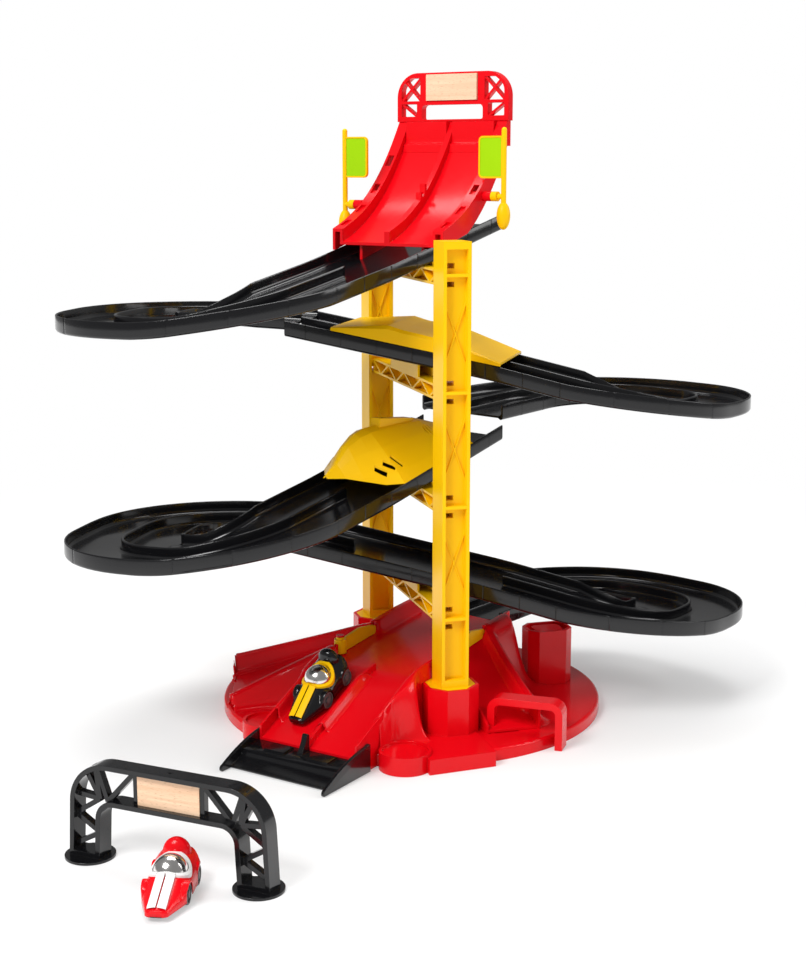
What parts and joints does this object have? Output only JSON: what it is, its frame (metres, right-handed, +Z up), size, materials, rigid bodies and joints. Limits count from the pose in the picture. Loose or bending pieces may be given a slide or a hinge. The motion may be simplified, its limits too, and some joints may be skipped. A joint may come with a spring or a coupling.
{
  "type": "toy race tower",
  "caption": "Toy race tower with a figure-of-eight two-lane track on two pillars, a start ramp, lane switches, a finish arch and ball-driver cars.",
  "frame": {"origin": "centre of the underside of the round base, on the floor", "axes": "+Z up, +X to the right along the track loops, +Y from the front pillar to the back pillar"},
  "size_m": [0.7107, 0.6141, 0.6207],
  "materials": {
    "red_plastic": "gloss",
    "black_plastic": "gloss",
    "yellow_plastic": "gloss",
    "green_plastic": "gloss",
    "pale_wood": "satin",
    "soft_rubber": "matte",
    "steel": "satin",
    "polished_steel": "polished",
    "grey_plastic": "matte",
    "white_plastic": "gloss"
  },
  "bodies": {
    "tower": {"base_deck": "red_plastic", "pit_arch": "red_plastic", "side_post": "red_plastic", "exit_ramp": "black_plastic", "switch_pins": "red_plastic", "pillar_front": "yellow_plastic", "pillar_back": "yellow_plastic", "track_1": "black_plastic", "track_2": "black_plastic", "track_3": "black_plastic", "track_4": "black_plastic", "bracket_1": "yellow_plastic", "bracket_2": "yellow_plastic", "bracket_3": "yellow_plastic", "bracket_4": "yellow_plastic", "bridge_cover": "yellow_plastic", "shell_cover": "yellow_plastic", "start_ramp": "red_plastic", "gantry": "red_plastic", "gantry_sign": "pale_wood", "flag_pins": "red_plastic", "base_pads": "soft_rubber", "base_screws": "steel"},
    "flag_left": {"flag_arm_left": "yellow_plastic", "flag_plate_left": "green_plastic"},
    "flag_right": {"flag_arm_right": "yellow_plastic", "flag_plate_right": "green_plastic"},
    "switch_left": {"switch_left": "yellow_plastic"},
    "switch_right": {"switch_right": "yellow_plastic"},
    "finish_gate": {"finish_arch": "black_plastic", "finish_sign": "pale_wood"},
    "black_car": {"black_car_body": "black_plastic", "black_car_chassis": "black_plastic", "black_car_ring": "yellow_plastic", "black_car_stripes": "yellow_plastic"},
    "black_front_wheels": {"black_car_wheels_front": "grey_plastic"},
    "black_rear_wheels": {"black_car_wheels_rear": "grey_plastic"},
    "black_ball": {"black_car_ball": "polished_steel"},
    "red_car": {"red_car_body": "red_plastic", "red_car_chassis": "black_plastic", "red_car_ring": "white_plastic", "red_car_stripes": "white_plastic"},
    "red_front_wheels": {"red_car_wheels_front": "grey_plastic"},
    "red_rear_wheels": {"red_car_wheels_rear": "grey_plastic"},
    "red_ball": {"red_car_ball": "polished_steel"}
  },
  "joints": [
    {"name": "flag_left_swing", "type": "hinge", "parent": "tower", "child": "flag_left", "pos_m": [-0.04176, 0.06221, 0.49345], "axis": [0.6428, -0.766, 0], "range_deg": [-30, 60]},
    {"name": "flag_right_swing", "type": "hinge", "parent": "tower", "child": "flag_right", "pos_m": [0.0701, -0.03843, 0.50261], "axis": [0.6428, -0.766, 0], "range_deg": [0, 60]},
    {"name": "switch_left_swing", "type": "hinge", "parent": "tower", "child": "switch_left", "pos_m": [-0.07995, -0.02487, 0.06315], "axis": [0, 0, -1], "range_deg": [0, 35]},
    {"name": "switch_right_swing", "type": "hinge", "parent": "tower", "child": "switch_right", "pos_m": [0.01788, -0.07948, 0.06695], "axis": [0, 0, 1], "range_deg": [0, 35]},
    {"name": "finish_gate_lift", "type": "slide", "parent": "tower", "child": "finish_gate", "axis": [0, 0, 1], "range_m": [0, 0.06]},
    {"name": "black_car_roll", "type": "slide", "parent": "tower", "child": "black_car", "axis": [-0.6882, -0.5983, -0.4104], "range_m": [-0.03, 0.01]},
    {"name": "black_front_wheels_spin", "type": "hinge", "parent": "black_car", "child": "black_front_wheels", "pos_m": [-0.12451, -0.09898, 0.04656], "axis": [0.6561, -0.7547, 0], "continuous": true},
    {"name": "black_rear_wheels_spin", "type": "hinge", "parent": "black_car", "child": "black_rear_wheels", "pos_m": [-0.1018, -0.07924, 0.0601], "axis": [0.6561, -0.7547, 0], "continuous": true},
    {"name": "black_ball_spin", "type": "hinge", "parent": "black_car", "child": "black_ball", "pos_m": [-0.11825, -0.09354, 0.06224], "axis": [0.6561, -0.7547, 0], "continuous": true},
    {"name": "red_car_roll", "type": "slide", "parent": "tower", "child": "red_car", "axis": [-0.3746, -0.9272, 0], "range_m": [-0.12, 0.1]},
    {"name": "red_front_wheels_spin", "type": "hinge", "parent": "red_car", "child": "red_front_wheels", "pos_m": [-0.30525, -0.39356, 0.008], "axis": [0.9272, -0.3746, 0], "continuous": true},
    {"name": "red_rear_wheels_spin", "type": "hinge", "parent": "red_car", "child": "red_rear_wheels", "pos_m": [-0.29289, -0.36297, 0.008], "axis": [0.9272, -0.3746, 0], "continuous": true},
    {"name": "red_ball_spin", "type": "hinge", "parent": "red_car", "child": "red_ball", "pos_m": [-0.3, -0.38058, 0.0189], "axis": [0.9272, -0.3746, 0], "continuous": true}
  ],
  "couplings": [
    {"joint": "black_front_wheels_spin", "follows": "black_car_roll", "rad_per_m": 125},
    {"joint": "black_rear_wheels_spin", "follows": "black_car_roll", "rad_per_m": 125},
    {"joint": "red_front_wheels_spin", "follows": "red_car_roll", "rad_per_m": 125},
    {"joint": "red_rear_wheels_spin", "follows": "red_car_roll", "rad_per_m": 125}
  ]
}
